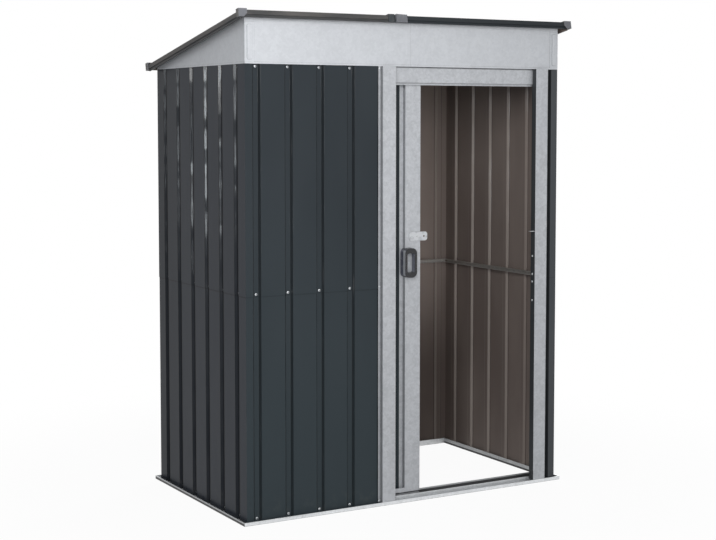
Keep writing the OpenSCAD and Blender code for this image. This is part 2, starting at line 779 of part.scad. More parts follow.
base_rail_front();
base_rail_back();
base_rail_left();
base_rail_right();
door_bottom_track();
door_top_track();
door_header();
door_post_left();
door_post_right();
mid_rails();
top_rails();
left_wall_lower();
left_wall_upper();
right_wall_lower();
right_wall_upper();
back_wall_lower();
back_wall_upper();
front_wall_lower();
front_wall_upper();
front_corner_strip();
gable_left();
gable_right();
fascia_left();
fascia_right();
fascia_back();
fascia_end_plates();
roof_panel_left();
roof_panel_right();
roof_beam();
roof_trim_front();
roof_trim_back();
roof_trim_left();
roof_trim_right();
roof_corner_caps();
roof_joint_caps();
lock_tab_plate();
door_panel_lower();
door_panel_upper();
door_stile_leading();
door_stile_trailing();
door_cross_rails();
door_hangers();
door_guides();
door_handle();
door_hasp();
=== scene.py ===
import math
from collections import namedtuple

import bmesh
import bpy
from mathutils import Matrix, Vector


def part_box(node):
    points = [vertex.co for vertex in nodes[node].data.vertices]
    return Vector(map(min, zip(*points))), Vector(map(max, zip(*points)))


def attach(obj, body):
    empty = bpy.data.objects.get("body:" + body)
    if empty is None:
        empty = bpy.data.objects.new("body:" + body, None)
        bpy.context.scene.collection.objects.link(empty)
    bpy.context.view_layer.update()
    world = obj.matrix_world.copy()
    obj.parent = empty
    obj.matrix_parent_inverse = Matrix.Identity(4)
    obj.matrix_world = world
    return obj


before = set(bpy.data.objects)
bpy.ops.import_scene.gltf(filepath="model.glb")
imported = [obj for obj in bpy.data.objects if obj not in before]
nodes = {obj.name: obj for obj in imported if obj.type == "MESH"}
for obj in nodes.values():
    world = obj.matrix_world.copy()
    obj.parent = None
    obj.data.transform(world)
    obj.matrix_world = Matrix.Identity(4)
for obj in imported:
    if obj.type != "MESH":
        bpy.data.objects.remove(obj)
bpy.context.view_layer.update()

scene = bpy.context.scene

# Sizes that the finishes and screws share with the shed's solids, in metres
RIB_PITCH = 0.130
RIB_DEPTH = 0.010
RIB_MOUTH = 0.032
RIB_FLOOR = 0.020
SHEET_T = 0.0008
LAP_INSET = 0.001
SEAM_H = 0.832
ROOF_PITCH = math.radians(11)
ROOF_RIB_H = 0.005
# Top of the trims' lower lip, from the rib crests
TRIM_LIP_TOP = -0.015
LEFT, RIGHT, FRONT, BACK, UP = (-1, 0, 0), (1, 0, 0), (0, -1, 0), (0, 1, 0), (0, 0, 1)


# Shader expressions

class Level:
    """A value that changes over a surface. Sums and products of levels add Math nodes."""

    def __init__(self, finish, socket):
        self.finish = finish
        self.socket = socket

    def maths(self, operation, *values):
        return self.finish.node("Math", {"operation": operation}, dict(enumerate(values)))["Value"]

    def __add__(self, other):
        return self.maths("ADD", self, other)

    __radd__ = __add__

    def __sub__(self, other):
        return self.maths("SUBTRACT", self, other)

    def __rsub__(self, other):
        return self.maths("SUBTRACT", other, self)

    def __mul__(self, other):
        return self.maths("MULTIPLY", self, other)

    __rmul__ = __mul__

    def __truediv__(self, other):
        return self.maths("DIVIDE", self, other)

    def __lt__(self, other):
        return self.maths("LESS_THAN", self, other)

    def __gt__(self, other):
        return self.maths("GREATER_THAN", self, other)

    def wrap(self, low, high):
        return self.maths("WRAP", self, high, low)

    def size(self):
        """The value without its sign."""
        return self.maths("ABSOLUTE", self)

    def smooth(self, low, high):
        """0 at low and 1 at high, with soft ends."""
        return self.finish.node(
            "MapRange", {"interpolation_type": "SMOOTHSTEP", "clamp": True},
            {"Value": self, "From Min": low, "From Max": high},
        )["Result"]

    def below(self, top):
        """1 at ground level, fading to 0 at the height top."""
        return 1 - self.smooth(0.0, top)


class Made:
    """A node that was added; indexing it gives one of its outputs."""

    def __init__(self, finish, node):
        self.finish = finish
        self.made = node

    def __getitem__(self, name):
        return Level(self.finish, self.made.outputs[name])


class Shading:
    """A tree of shader nodes, with its one output node."""

    def __init__(self, tree, output="OutputMaterial"):
        self.tree = tree
        self.tree.nodes.clear()
        self.out = self.node(output).made

    def node(self, kind, settings=None, sockets=None):
        """Adds a node: its settings first, then the values or links of its sockets."""
        made = self.tree.nodes.new("ShaderNode" + kind)
        for key, value in (settings or {}).items():
            setattr(made, key, value)
        for key, value in (sockets or {}).items():
            if isinstance(value, Level):
                self.tree.links.new(value.socket, made.inputs[key])
            else:
                made.inputs[key].default_value = value
        return Made(self, made)

    def place(self):
        """Place on the piece, in metres in the shed's frame at rest."""
        return self.node("TexCoord")["Object"]

    def parts(self, vector):
        split = self.node("SeparateXYZ", None, {0: vector})
        return split["X"], split["Y"], split["Z"]

    def stretched(self, vector, x, y, z):
        return self.node("VectorMath", {"operation": "MULTIPLY"}, {0: vector, 1: (x, y, z)})["Vector"]

    def noise(self, vector, scale, detail=2.0, rough=0.5):
        return self.node(
            "TexNoise", None, {"Vector": vector, "Scale": scale, "Detail": detail, "Roughness": rough}
        )["Fac"]

    def crystals(self, vector, scale):
        """A random level for each cell of the surface."""
        cells = self.node("TexVoronoi", {"feature": "F1"}, {"Vector": vector, "Scale": scale})
        return self.parts(cells["Color"])[0]

    def mixed(self, share, first, second):
        return self.node(
            "Mix", {"data_type": "RGBA", "blend_type": "MIX"},
            {"Factor": share, 6: rgba(first), 7: rgba(second)},
        )[2]

    def dot(self, vector, direction):
        return self.node("VectorMath", {"operation": "DOT_PRODUCT"}, {0: vector, 1: direction})["Value"]

    def normal(self):
        return self.node("NewGeometry")["True Normal"]

    def facing(self, direction):
        """How far the surface faces a direction, from -1 to 1."""
        return self.dot(self.normal(), direction)

    def facing_out(self, x, y):
        """Above 0 where a point's surface faces away from the shed's middle, below 0 where it faces it."""
        n_x, n_y, _ = self.parts(self.normal())
        return n_x * ((x > 0) * 2 - 1) + n_y * ((y > 0) * 2 - 1)

    def sideways(self):
        """1 on faces to the left and right."""
        return self.facing(LEFT).size().smooth(*TURNED)

    def bump(self, height, depth):
        return self.node("Bump", None, {"Height": height, "Distance": depth, "Strength": 1.0})["Normal"]

    def corners(self, reach):
        """1 in the corners that other surfaces close in on within reach, 0 in the open."""
        return 1 - self.node("AmbientOcclusion", {"samples": 8}, {"Distance": reach})["AO"]

    def surface(self, **sockets):
        named = {key.replace("_", " "): value for key, value in sockets.items()}
        return self.node("BsdfPrincipled", None, named)["BSDF"]

    def blend(self, share, first, second):
        return self.node("MixShader", None, {0: share, 1: first, 2: second})["Shader"]

    def shown(self, shader):
        self.tree.links.new(shader.socket, self.out.inputs["Surface"])

    def finished(self, **sockets):
        self.shown(self.surface(**sockets))


def finish(name):
    """A new material and the tree that shades it."""
    material = bpy.data.materials.new(name)
    material.use_nodes = True
    return material, Shading(material.node_tree)


def rgba(colour):
    return colour if isinstance(colour, Level) else (*colour[:3], 1.0)


def srgb(*levels):
    """A colour as it looks in the picture, 0 to 255, as the linear colour that a shader takes."""
    shares = [level / 255 for level in levels]
    return tuple(c / 12.92 if c <= 0.04045 else ((c + 0.055) / 1.055) ** 2.4 for c in shares)


# Colours of the finishes

# Anthracite paint, its paler clouds and its shade near the ground
FRONT_PAINT = srgb(53, 58, 62), srgb(58, 63, 67), srgb(60, 69, 73)
# The side walls take a darker copy of the paint, painted shade against the sheen they catch at a slant, and
# the corner strip a paler copy, painted light for the post's shadow on it
SIDE_PAINT_SHADED = srgb(46, 50, 57), srgb(51, 54, 60), srgb(49, 53, 60)
STRIP_PAINT_LIT = srgb(82, 85, 88), srgb(90, 92, 94), srgb(80, 82, 85)
FLANK_SHADE = srgb(14, 16, 18)
INNER_COAT = srgb(131, 120, 114)
INNER_COAT_DULL = srgb(111, 100, 95)
INNER_FLANK_HIGHLIGHT = srgb(172, 164, 157)
INNER_SHADE = srgb(52, 45, 43)
# Zinc, bright and dull
RAIL_ZINC = srgb(202, 204, 208), srgb(180, 182, 186)
# The sill's zinc is a brighter copy of the rails', painted light at the foot where less light falls
SILL_ZINC_LIT = srgb(232, 234, 236), srgb(214, 216, 218)
ROOM_ZINC = srgb(178, 174, 170), srgb(154, 150, 146)
FASCIA_ZINC = srgb(213, 215, 219), srgb(201, 203, 207)
# The gables take a darker copy of the fascia's zinc, painted shade for faces turned sideways from the light
GABLE_ZINC_SHADED = srgb(186, 188, 192), srgb(178, 180, 184)
LOCK_ZINC = srgb(206, 208, 211), srgb(178, 180, 184)
SCREW_ZINC = srgb(232, 234, 236), srgb(188, 191, 194)
SCREW_RECESS_SHADE = srgb(60, 61, 63)
# Painted shade on zinc: in corners, near the ground, on faces to the left and right and inside channels
ZINC_SHADE = srgb(62, 62, 63)
DUST_AND_FOOT_SHADE = srgb(120, 118, 112)
TRIM_GREY = srgb(48, 53, 57)
TRIM_WORN = srgb(100, 97, 95)
CAP_GREY = srgb(112, 113, 118)
CAP_PALE = srgb(130, 131, 135)
CAP_SIDE_SHADE = srgb(70, 67, 62)
NYLON = srgb(38, 39, 41)
NYLON_PALE = srgb(52, 53, 55)
HANDLE_GREY = srgb(30, 31, 34)
HANDLE_PALE = srgb(44, 45, 49)
HANDLE_SIDE_LIGHT = srgb(88, 90, 102)
HANDLE_RIM_HIGHLIGHT = srgb(158, 160, 165)

# Noise levels between which a patch of wear fades in, and how far a face is turned to take the light and
# shade painted on side faces
PATCH = 0.45, 0.75
TURNED = 0.5, 0.9
# Height up to which light and shade painted near the ground reach on the walls and rails
FADE_TOP = 1.5
# Dark line along the seam, below and above it
SEAM_LINE_LOW = SEAM_H - 0.0045
SEAM_LINE_HIGH = SEAM_H + 0.0005
SIDE_SEAM_SHADE = 0.55
FRONT_SEAM_SHADE = 0.15
# Mud splashed on the walls is thickest up to the first height and ends at the second
SPLASH = 0.01, 0.12
# Foot of the rails, below which their faces to the left and right take more painted shade
RAIL_FOOT = 0.0075, 0.0095
# Where along the side walls their grooves shine most, and the heights between which the shine comes in
POLISHED_AT = -RIB_PITCH / 2
SIDE_SHINE = 0.75, 1.35
TOP_SHINE = 1.6, 1.63
FRONT_SHINE = 0.15, 0.6
# Depths between which the inner coat comes out of the doorway's shade
ROOM_DEPTH = -0.35, 0.15
# Finest relief of the paint, the zinc and the plastic
PEEL = 0.00003
TRIM_PEEL = 0.00004
SPANGLE = 0.00004
MOULD_GRAIN = 0.00008
BRUSHING = 0.00003
RECESS_DEPTH = 0.0006


# Painted sheets

Groove = namedtuple("Groove", "off_middle flank on_flank lips run")


def rolled_grooves(f, along, height, rib_middle):
    """Where a point lies on the nearest groove of a sheet.

    off_middle is its distance from the groove's middle. flank goes from -1 to 1 across the slope
    between floor and mouth, on_flank is 1 on that slope and lips is 1 just outside the mouth. run
    is a place in noise that each groove has to itself.
    """
    across = (along - rib_middle).wrap(-RIB_PITCH / 2, RIB_PITCH / 2)
    off_middle = across.size()
    flank_half = (RIB_MOUTH - RIB_FLOOR) / 4
    flank = (off_middle - (RIB_FLOOR / 2 + flank_half)) / flank_half
    on_flank = 1 - flank.size().smooth(1.0, 1.3)
    lips = (off_middle > RIB_MOUTH * 0.5) * (1 - off_middle.smooth(RIB_MOUTH * 0.55, RIB_MOUTH * 0.7))
    own = (along - across) * 7.3
    run = f.node("CombineXYZ", None, {0: own, 1: own * 1.7, 2: height * 7.5})["Vector"]
    return Groove(off_middle, flank, on_flank, lips, run)


def outer_paint(f, outward, paints, reveal, groove, place, cloud):
    """Colour of a sheet's outside, and the share of mud splashed on it."""
    _, y, height = f.parts(place)
    paint, paint_pale, paint_low = paints
    colour = f.mixed(cloud.smooth(0.35, 0.75), paint, paint_pale)
    colour = f.mixed(height.below(FADE_TOP) * 0.7, colour, paint_low)
    colour = f.mixed(groove.on_flank * 0.55, colour, FLANK_SHADE)
    if reveal:
        colour = f.mixed(f.facing(LEFT).smooth(*TURNED) * reveal, colour, FLANK_SHADE)
    seam_shade = FRONT_SEAM_SHADE
    if outward in (LEFT, RIGHT):
        seam_shade = SIDE_SEAM_SHADE
        groove_floor = 1 - groove.off_middle.smooth(RIB_FLOOR * 0.45, RIB_FLOOR * 0.55)
        colour = f.mixed(groove_floor * 0.8 + groove.lips * 0.6, colour, FLANK_SHADE)
        # The pans towards the back get less light
        colour = f.mixed(y.smooth(0.1, 0.4) * 0.3, colour, FLANK_SHADE)
    seam = (height > SEAM_LINE_LOW) * (height < SEAM_LINE_HIGH)
    colour = f.mixed(seam * seam_shade, colour, FLANK_SHADE)
    splash = (1 - height.smooth(*SPLASH)) * f.noise(place, 26.0, 4.0, 0.65).smooth(*PATCH) * 0.1
    specks = f.noise(place, 160.0, 2.0).smooth(0.68, 0.8) * 0.03
    return f.mixed(splash + specks, colour, DUST_AND_FOOT_SHADE), splash


def inner_coat(f, groove, cloud, deep):
    """Colour of a sheet's inside, with painted shade at the groove lips and a painted highlight on the flanks
    that is brighter deep in the room.
    """
    colour = f.mixed(cloud.smooth(0.3, 0.7), INNER_COAT, INNER_COAT_DULL)
    colour = f.mixed(groove.lips * 0.55, colour, INNER_SHADE)
    return f.mixed(groove.on_flank * (0.1 + deep * 0.32), colour, INNER_FLANK_HIGHLIGHT)


def flank_polish(f, outward, groove, y, height):
    """Share of gloss on the flanks of a sheet's grooves."""
    if outward not in (LEFT, RIGHT):
        return 0.2 + height.smooth(*FRONT_SHINE) * 0.8
    # On the side walls the shine is broken, and fades towards the seam and the corners
    breaks = (f.noise(groove.run, 1.7, 1.0).smooth(0.35, 0.6) + height.smooth(*TOP_SHINE)).smooth(0.0, 1.0)
    middle = 1 - (y - POLISHED_AT).size().smooth(0.05, 0.34) * 0.8
    return (0.12 + height.smooth(*SIDE_SHINE) * 0.88) * (0.2 + breaks * 0.8) * middle


def coated_sheet(name, outward, rib_middle, corner=0.4, paints=FRONT_PAINT, reveal=0.0):
    """Roll-formed sheet: anthracite paint outside and a warm grey coat inside.

    rib_middle is the place of one groove along the wall. The returns at the corners face along the
    wall, so corner says how much the shed's middle tells their two sides apart. reveal is the share
    of shade on faces to the left, as a jamb's in the doorway.
    """
    material, f = finish(name)
    place = f.place()
    x, y, height = f.parts(place)
    along = y if outward in (LEFT, RIGHT) else x
    inside = (f.facing(outward) + f.facing_out(x, y) * corner) < -0.05
    groove = rolled_grooves(f, along, height, rib_middle)
    cloud = f.noise(f.stretched(place, 3.0, 3.0, 1.1), 1.0, 3.0)
    deep = y.smooth(*ROOM_DEPTH)
    outer, splash = outer_paint(f, outward, paints, reveal, groove, place, cloud)
    colour = f.mixed(inside, outer, inner_coat(f, groove, cloud, deep))
    waves = f.noise(f.stretched(place, 4.0, 4.0, 3.0), 1.0, 2.0)
    peel = f.noise(place, 420.0, 1.0)
    flat = f.surface(
        Base_Color=colour, Roughness=0.3 + cloud * 0.08 + splash * 0.6 + inside * 0.12,
        Normal=f.bump(waves * 0.002 + peel * PEEL, 1.0), IOR=1.15,
    )
    # Drawn over the rolls, the paint on the flanks comes out glossier. The rolls leave each flank
    # wavering, so its shine comes and goes along the height
    waver = f.noise(groove.run, 1.0, 2.0) - 0.5
    bend = groove.flank * groove.flank * groove.flank * 0.0004 + groove.flank * waver * 0.0032
    burnished = f.surface(
        Base_Color=colour, Roughness=0.13 + cloud * 0.06, Normal=f.bump(bend, 1.0),
        IOR=1.54 if outward in (LEFT, RIGHT) else 1.45,
    )
    polish = flank_polish(f, outward, groove, y, height) * (1 - inside * (0.85 - deep * 0.5))
    f.shown(f.blend(groove.on_flank * polish, flat, burnished))
    return material


def painted_trim(name):
    """Painted roof trim with rubbed, lighter patches."""
    material, f = finish(name)
    place = f.place()
    x, y, _ = f.parts(place)
    # The left lengths are rubbed paler than the right ones, though less on their lower lip
    left_length = 1 - x.smooth(joint_middle - 0.01, joint_middle + 0.01)
    above_crest = f.dot(place, tuple(roof_out)) - roof_front.dot(roof_out)
    above_crest = above_crest + f.facing(LEFT).size() * ROOF_RIB_H
    face = above_crest.smooth(TRIM_LIP_TOP - 0.001, TRIM_LIP_TOP)
    patchy = f.noise(f.stretched(place, 6.0, 6.0, 40.0), 1.0, 4.0, 0.6).smooth(0.3, 0.65)
    rubbed = (0.1 + left_length * (0.35 + patchy * 0.55)) * (0.55 + face * 0.45)
    inside = f.facing_out(x, y) < -0.5
    f.finished(
        Base_Color=f.mixed(inside, f.mixed(rubbed, TRIM_GREY, TRIM_WORN), INNER_COAT),
        Roughness=0.42 + rubbed * 0.15, IOR=1.2,
        Normal=f.bump(f.noise(place, 500.0, 1.0), TRIM_PEEL),
    )
    return material


# Zinc

def galvanised(name, greys, grain=130.0, metal=0.35, corner_shade_reach=0.012, side_shade=0.0, low_shade=0.0, channel=None):
    """Hot-dipped zinc: small crystals of slightly different grey under a dull bloom.

    Painted shade darkens the corners that other surfaces close in on within corner_shade_reach.
    side_shade is its share on the faces to the left and right, and low_shade its share near the
    ground. A channel gets painted shade inside: channel is the high corner of its box.
    """
    material, f = finish(name)
    bright, dull = greys
    place = f.place()
    _, y, height = f.parts(place)
    tint = f.crystals(place, grain)
    broad = f.crystals(place, grain * 0.4)
    fine = f.noise(place, 320.0, 2.0)
    bloom = f.noise(f.stretched(place, 5.0, 5.0, 2.0), 1.0, 4.0, 0.6)
    shade = (tint - 0.5) * 0.3 + (broad - 0.5) * 0.25 + (fine - 0.5) * 0.3 + bloom * 0.5
    colour = f.mixed(shade.smooth(-0.2, 0.7), bright, dull)
    colour = f.mixed(f.corners(corner_shade_reach).smooth(0.06, 0.5) * 0.5, colour, ZINC_SHADE)
    if low_shade:
        colour = f.mixed(height.below(FADE_TOP) * low_shade, colour, ZINC_SHADE)
    if side_shade:
        foot = 0.5 + (1 - height.smooth(*RAIL_FOOT)) * 0.5
        colour = f.mixed(f.sideways() * foot * side_shade, colour, ZINC_SHADE)
    if channel:
        # Painted shade over all but its rear face and its top edges
        inside = (y < channel.y - 0.0006) * (height < channel.z - 0.0055)
        colour = f.mixed(inside * 0.85, colour, ZINC_SHADE)
    # Dust lies in patches near the ground, and painted contact shade darkens the lowest few millimetres
    dust_and_foot_shade = height.below(0.05) * f.noise(place, 45.0, 4.0, 0.7).smooth(*PATCH) * 0.12
    dust_and_foot_shade = dust_and_foot_shade + (1 - height.smooth(0.001, 0.003)) * 0.25
    f.finished(
        Base_Color=f.mixed(dust_and_foot_shade, colour, DUST_AND_FOOT_SHADE), Metallic=metal,
        Roughness=0.42 + tint * 0.08 + dust_and_foot_shade * 0.4, Normal=f.bump(fine + tint, SPANGLE),
    )
    return material


def plated(name):
    """Bright zinc plating with a brushed grain and a dull bloom."""
    material, f = finish(name)
    place = f.place()
    brushed = f.noise(f.stretched(place, 900.0, 900.0, 60.0), 1.0, 2.0)
    bloom = f.noise(place, 70.0, 3.0).smooth(0.4, 0.75)
    f.finished(
        Base_Color=f.mixed(bloom, *LOCK_ZINC), Metallic=0.5,
        Roughness=0.3 + bloom * 0.16 + brushed * 0.06, Normal=f.bump(brushed, BRUSHING),
    )
    return material


def screw_zinc(name):
    """Zinc-plated screw head. Its UV, the place on the head in head widths, draws the cross recess, painted
    dark for its shade.
    """
    material, f = finish(name)
    u, v, _ = f.parts(f.node("UVMap")["UV"])
    across = u.size()
    along = v.size()
    half, reach = 0.07, 0.3
    recess = ((across < half) * (along < reach) + (along < half) * (across < reach)) > 0.5
    bloom = f.noise(f.place(), 220.0, 3.0)
    f.finished(
        Base_Color=f.mixed(recess, f.mixed(bloom, *SCREW_ZINC), SCREW_RECESS_SHADE), Metallic=0.4,
        Roughness=0.24 + bloom * 0.2 + recess * 0.3, Normal=f.bump(1 - recess, RECESS_DEPTH),
    )
    return material


# Plastic

def moulded(name, colour, worn, grain=900.0, rough=0.5, sides=None, rim=None):
    """Moulded plastic with a fine spark-eroded grain and slightly paler, handled patches.

    sides is the colour painted on the faces to the left and right for their light and shade. rim is
    the painted highlight on the outermost ones near the front: (middle, half width, depth, colour).
    """
    material, f = finish(name)
    place = f.place()
    handled = f.noise(place, 40.0, 3.0).smooth(*PATCH)
    pits = f.noise(place, grain, 2.0)
    base = f.mixed(handled, colour, worn)
    if sides:
        base = f.mixed(f.sideways() * 0.8, base, sides)
    if rim:
        middle, half, depth, edge = rim
        x, y, _ = f.parts(place)
        base = f.mixed(f.sideways() * ((x - middle).size() > half) * (y < depth), base, edge)
    f.finished(
        Base_Color=base, Roughness=rough + handled * 0.12 - pits * 0.08,
        Normal=f.bump(pits, MOULD_GRAIN),
    )
    return material


def clip_pair(name):
    """Joint clips: the plain one is painted as the trim, the tapered one is bare grey plastic."""
    material, f = finish(name)
    place = f.place()
    tapered = f.parts(place)[0] > joint_middle
    handled = f.noise(place, 60.0, 3.0).smooth(*PATCH)
    pits = f.noise(place, 900.0, 2.0)
    plain = f.mixed(handled * 0.5, TRIM_GREY, TRIM_WORN)
    f.finished(
        Base_Color=f.mixed(tapered, plain, f.mixed(handled, CAP_GREY, CAP_PALE)),
        Roughness=0.5 - pits * 0.08, Normal=f.bump(pits, MOULD_GRAIN),
    )
    return material


# Places on the shed that the finishes and screws go by

wall_low, wall_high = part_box("back_wall_upper")
left_low, left_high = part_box("left_wall_upper")
front_low, front_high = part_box("front_wall_upper")
strip_low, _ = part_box("front_corner_strip")
leaf_low, leaf_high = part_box("door_panel_upper")
handle_low, handle_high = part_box("door_handle")
hasp_low, hasp_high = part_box("door_hasp")
# The roof's slope, and the front end of its rib crests
roof_low, roof_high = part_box("roof_panel_left")
roof_down = Vector((0, math.cos(ROOF_PITCH), -math.sin(ROOF_PITCH)))
roof_out = Vector((0, math.sin(ROOF_PITCH), math.cos(ROOF_PITCH)))
roof_front = Vector((0, roof_low.y + (ROOF_RIB_H + SHEET_T) * math.sin(ROOF_PITCH), roof_high.z))
# The gap between the two clips lies about a third of the way along the pair
clip_low, clip_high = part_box("roof_joint_caps")
joint_middle = clip_low.x + (clip_high.x - clip_low.x) * 0.345
side_mid = (left_low.y + left_high.y) / 2
door_rib = (leaf_low.x + leaf_high.x) / 2


# Dressing the shed's pieces

def dressed(names, material):
    for name in names:
        slots = nodes[name].data.materials
        slots.clear()
        slots.append(material)


side_rib = side_mid + RIB_PITCH / 2
dressed(["left_wall_lower", "left_wall_upper"], coated_sheet("left_sheet", LEFT, side_rib, paints=SIDE_PAINT_SHADED))
dressed(
    ["right_wall_lower", "right_wall_upper"],
    coated_sheet("right_sheet", RIGHT, side_rib, paints=SIDE_PAINT_SHADED),
)
dressed(["back_wall_lower", "back_wall_upper"], coated_sheet("back_sheet", BACK, 0.0))
dressed(["front_wall_lower", "front_wall_upper"], coated_sheet("front_sheet", FRONT, 0.0))
dressed(["front_corner_strip"], coated_sheet("strip_sheet", FRONT, 0.0, 0.0, STRIP_PAINT_LIT, reveal=0.5))
dressed(["door_panel_lower", "door_panel_upper"], coated_sheet("door_sheet", FRONT, door_rib, 0.0))
dressed(["roof_panel_left", "roof_panel_right"], coated_sheet("roof_sheet", UP, 0.0, 0.0))
dressed(
    [
        "door_top_track", "door_header", "door_post_left", "door_post_right", "top_rails",
        "roof_beam", "door_stile_trailing", "door_cross_rails",
    ],
    galvanised("rail_zinc", RAIL_ZINC, side_shade=1.0, low_shade=0.14),
)
# The stile's painted corner shade reaches less far, so it stays pale inside the handle's ring
dressed(["door_stile_leading"], galvanised("stile_zinc", RAIL_ZINC, corner_shade_reach=0.003, side_shade=1.0, low_shade=0.14))
dressed(
    ["base_rail_front", "base_rail_back", "base_rail_left", "base_rail_right"],
    galvanised("sill_zinc", SILL_ZINC_LIT, metal=0.75, corner_shade_reach=0.0025, side_shade=1.0),
)
dressed(
    ["door_bottom_track"],
    galvanised("track_zinc", SILL_ZINC_LIT, metal=0.75, corner_shade_reach=0.0025, channel=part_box("door_bottom_track")[1]),
)
dressed(["mid_rails"], galvanised("room_zinc", ROOM_ZINC, corner_shade_reach=0.003))
dressed(
    ["fascia_left", "fascia_right", "fascia_back", "fascia_end_plates"],
    galvanised("fascia_zinc", FASCIA_ZINC, grain=110.0, metal=0.1, corner_shade_reach=0.004),
)
dressed(
    ["gable_left", "gable_right"],
    galvanised("gable_zinc", GABLE_ZINC_SHADED, grain=110.0, metal=0.1, corner_shade_reach=0.004),
)
dressed(
    ["roof_trim_front", "roof_trim_back", "roof_trim_left", "roof_trim_right"],
    painted_trim("trim_paint"),
)
# Painted shade on the caps' faces to the left and right
dressed(["roof_corner_caps"], moulded("cap_plastic", CAP_GREY, CAP_PALE, sides=CAP_SIDE_SHADE))
dressed(["roof_joint_caps"], clip_pair("clip_plastic"))
# Painted highlight on the handle's outer edges near the front
handle_mid = (handle_low.x + handle_high.x) / 2
handle_rim_highlight = handle_mid, handle_high.x - handle_mid - 0.004, handle_low.y + 0.016, HANDLE_RIM_HIGHLIGHT
# Painted light on the handle's faces to the left and right
dressed(
    ["door_handle"],
    moulded("handle_plastic", HANDLE_GREY, HANDLE_PALE, 700.0, 0.28, HANDLE_SIDE_LIGHT, handle_rim_highlight),
)
dressed(["door_hangers", "door_guides"], moulded("slider_nylon", NYLON, NYLON_PALE))
dressed(["door_hasp", "lock_tab_plate"], plated("lock_zinc"))
screw_finish = screw_zinc("screw_zinc")


def eased(name, width, segments=2):
    """Rounds a node's edges as its mould or fold does."""
    edge = nodes[name].modifiers.new("eased", "BEVEL")
    edge.width = width
    edge.segments = segments
    edge.limit_method = "ANGLE"
    edge.angle_limit = math.radians(30)
    edge.harden_normals = True


eased("door_handle", 0.002, 3)
eased("roof_corner_caps", 0.001)
eased("roof_joint_caps", 0.001)
eased("door_hasp", 0.0005)
eased("fascia_end_plates", 0.0009, 1)


# Screws

MM = 0.001
# Half the outline of a washer-faced screw head, in millimetres: radius and height
HEAD = [
    (7.0, 0.0), (7.0, 0.9), (6.5, 1.2), (4.9, 1.2), (4.9, 2.0),
    (4.5, 2.9), (3.4, 3.7), (1.8, 4.1), (0.0, 4.2),
]
HEAD_WIDTH = 9.8
HEAD_SIDES = 20
# Turn from one screw to the next, in radians
HEAD_TURN = 0.83
# Share of the drawn head's size that the sheets' screws and the smaller ones have
SHEET_SCREW = 0.7
SMALL_SCREW = 0.6


def head_rings(bm, fix, scale):
    """Adds one head's vertices: rings of (vertex, place on the head), then the tip as a ring of one."""
    rings = []
    for radius, height in HEAD:
        sides = HEAD_SIDES if radius else 1
        turns = [2 * math.pi * i / HEAD_SIDES for i in range(sides)]
        places = [(radius * math.cos(a), radius * math.sin(a), height) for a in turns]
        rings.append([(bm.verts.new(fix @ (Vector(p) * scale)), p) for p in places])
    return rings


def screw_rows(name, body, places, facing, size=SHEET_SCREW):
    """Washer-faced screw heads at the given places, standing off the surface along facing."""
    bm = bmesh.new()
    uv = bm.loops.layers.uv.new("UVMap")
    turn = Vector(facing).normalized().to_track_quat("Z", "Y").to_matrix().to_4x4()
    for count, place in enumerate(places):
        fix = Matrix.Translation(place) @ turn @ Matrix.Rotation(count * HEAD_TURN, 4, "Z")
        *rings, (tip,) = head_rings(bm, fix, MM * size)
        faces = []
        for low, high in zip(rings, rings[1:]):
            for i in range(HEAD_SIDES):
                after = (i + 1) % HEAD_SIDES
                faces.append((low[i], low[after], high[after], high[i]))
        last = rings[-1]
        faces += [(last[i], last[(i + 1) % HEAD_SIDES], tip) for i in range(HEAD_SIDES)]
        for corners in faces:
            face = bm.faces.new([vertex for vertex, _ in corners])
            face.smooth = True
            for loop, (_, on_head) in zip(face.loops, corners):
                loop[uv].uv = (on_head[0] / HEAD_WIDTH, on_head[1] / HEAD_WIDTH)
    mesh = bpy.data.meshes.new(name)
    bm.to_mesh(mesh)
    bm.free()
    mesh.materials.append(screw_finish)
    rows = bpy.data.objects.new(name, mesh)
    scene.collection.objects.link(rows)
    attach(rows, body)


def groove_floor(height):
    """Depth of a groove's floor behind the wall's face, in the upper sheet and in the lower one."""
    return RIB_DEPTH + (LAP_INSET if height < front_low.z else 0.0)


# One screw at the foot, one at the seam and one at the top of each groove
screw_heights = (0.0172, front_low.z + 0.007, front_high.z - 0.009)
long_ribs = [i * RIB_PITCH for i in range(-5, 6)]
side_ribs = [side_mid + (i - 2.5) * RIB_PITCH for i in range(6)]
# The front sheet's last stretch lies behind the door post
BEHIND_POST = 0.03
front_ribs = [x for x in long_ribs if x + RIB_MOUTH / 2 < front_high.x - BEHIND_POST]
screw_rows(
    "front_wall_screws", "shed",
    [Vector((x, front_low.y + groove_floor(z), z)) for x in front_ribs for z in screw_heights], FRONT,
)
screw_rows(
    "corner_strip_screws", "shed",
    [Vector((long_ribs[-1], front_low.y + RIB_DEPTH, z)) for z in screw_heights], FRONT,
)
screw_rows(
    "left_wall_screws", "shed",
    [Vector((left_low.x + groove_floor(z), y, z)) for y in side_ribs for z in screw_heights], LEFT,
)
screw_rows(
    "right_wall_screws", "shed",
    [Vector((-left_low.x - groove_floor(z), y, z)) for y in side_ribs for z in screw_heights], RIGHT,
)
screw_rows(
    "back_wall_screws", "shed",
    [Vector((x, wall_high.y - groove_floor(z), z)) for x in long_ribs for z in screw_heights], BACK,
)

